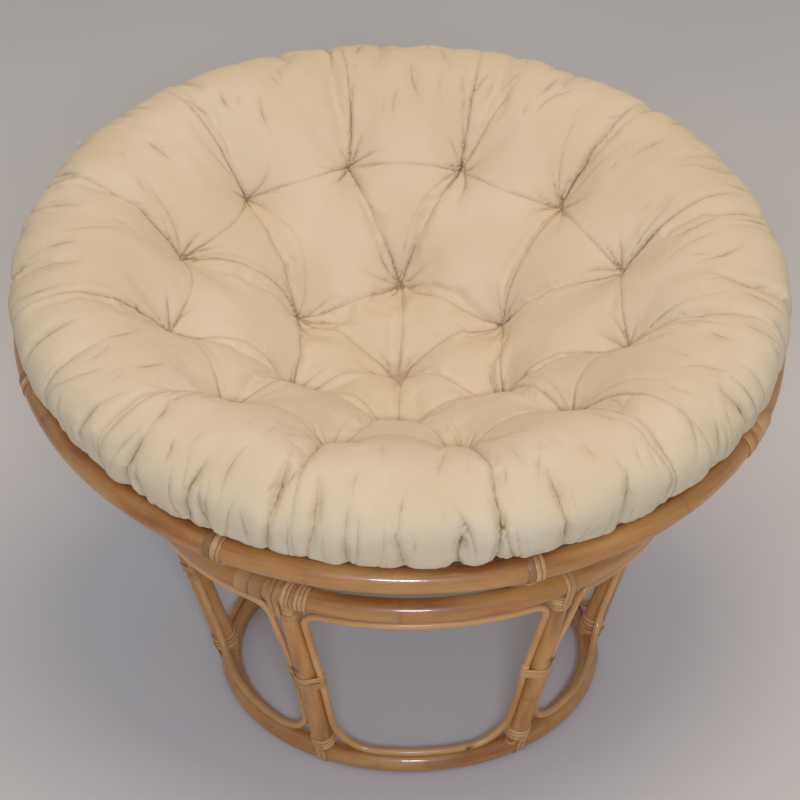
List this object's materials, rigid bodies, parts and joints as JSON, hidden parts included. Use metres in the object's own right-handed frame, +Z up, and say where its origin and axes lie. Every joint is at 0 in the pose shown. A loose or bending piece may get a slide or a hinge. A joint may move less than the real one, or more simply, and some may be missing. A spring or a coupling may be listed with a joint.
{
  "type": "papasan chair",
  "caption": "Papasan chair: a round tufted cushion in a cane bowl, which rests tilted in the ring of a drum-shaped rattan base with open windows.",
  "frame": {"origin": "on the floor, under the middle of the whole chair's box", "axes": "+Z up, -Y towards the front, where the bowl dips, and +X to the right as seen from the front"},
  "size_m": [1.0942, 1.0892, 0.7757],
  "materials": {
    "varnished_pole": "satin",
    "varnished_cane": "satin",
    "bound_peel": "matte",
    "cushion_cover": "matte",
    "tag_tape": "matte"
  },
  "bodies": {
    "base": {"base_top_ring": "varnished_pole", "base_bottom_ring": "varnished_pole", "leg_1": "varnished_pole", "window_loop_1": "varnished_cane", "leg_top_lashing_1": "bound_peel", "leg_middle_lashing_1": "bound_peel", "foot_lashing_1": "bound_peel", "leg_2": "varnished_pole", "window_loop_2": "varnished_cane", "leg_top_lashing_2": "bound_peel", "leg_middle_lashing_2": "bound_peel", "foot_lashing_2": "bound_peel", "leg_3": "varnished_pole", "window_loop_3": "varnished_cane", "leg_top_lashing_3": "bound_peel", "leg_middle_lashing_3": "bound_peel", "foot_lashing_3": "bound_peel", "leg_4": "varnished_pole", "window_loop_4": "varnished_cane", "leg_top_lashing_4": "bound_peel", "leg_middle_lashing_4": "bound_peel", "foot_lashing_4": "bound_peel", "leg_5": "varnished_pole", "window_loop_5": "varnished_cane", "leg_top_lashing_5": "bound_peel", "leg_middle_lashing_5": "bound_peel", "foot_lashing_5": "bound_peel", "leg_6": "varnished_pole", "window_loop_6": "varnished_cane", "leg_top_lashing_6": "bound_peel", "leg_middle_lashing_6": "bound_peel", "foot_lashing_6": "bound_peel", "ring_splice_wrap_left": "bound_peel", "ring_splice_wrap_right": "bound_peel"},
    "bowl": {"rim_hoop": "varnished_pole", "bowl_floor_hoop": "varnished_pole", "bowl_lower_hoop": "varnished_pole", "bowl_upper_hoop": "varnished_pole", "bowl_rib_1": "varnished_pole", "bowl_rib_2": "varnished_pole", "bowl_rib_3": "varnished_pole", "bowl_rib_4": "varnished_pole", "bowl_rib_5": "varnished_pole", "bowl_rib_6": "varnished_pole", "bowl_rib_7": "varnished_pole", "bowl_rib_8": "varnished_pole", "rim_lashing_1": "bound_peel", "rim_lashing_3": "bound_peel", "rim_lashing_4": "bound_peel", "rim_lashing_5": "bound_peel", "rim_lashing_6": "bound_peel", "rim_lashing_7": "bound_peel", "rim_lashing_8": "bound_peel", "rim_splice_wrap": "bound_peel"},
    "cushion": {"cushion": "cushion_cover", "cushion_tag": "tag_tape"}
  },
  "joints": [
    {"name": "bowl_tilt", "type": "hinge", "parent": "base", "child": "bowl", "pos_m": [0.01154, -0.06408, 0.94857], "axis": [1, 0, 0], "range_deg": [-25, 5]},
    {"name": "cushion_lift", "type": "slide", "parent": "bowl", "child": "cushion", "axis": [0.0292, -0.1736, 0.9844], "range_m": [0, 0.35]}
  ]
}
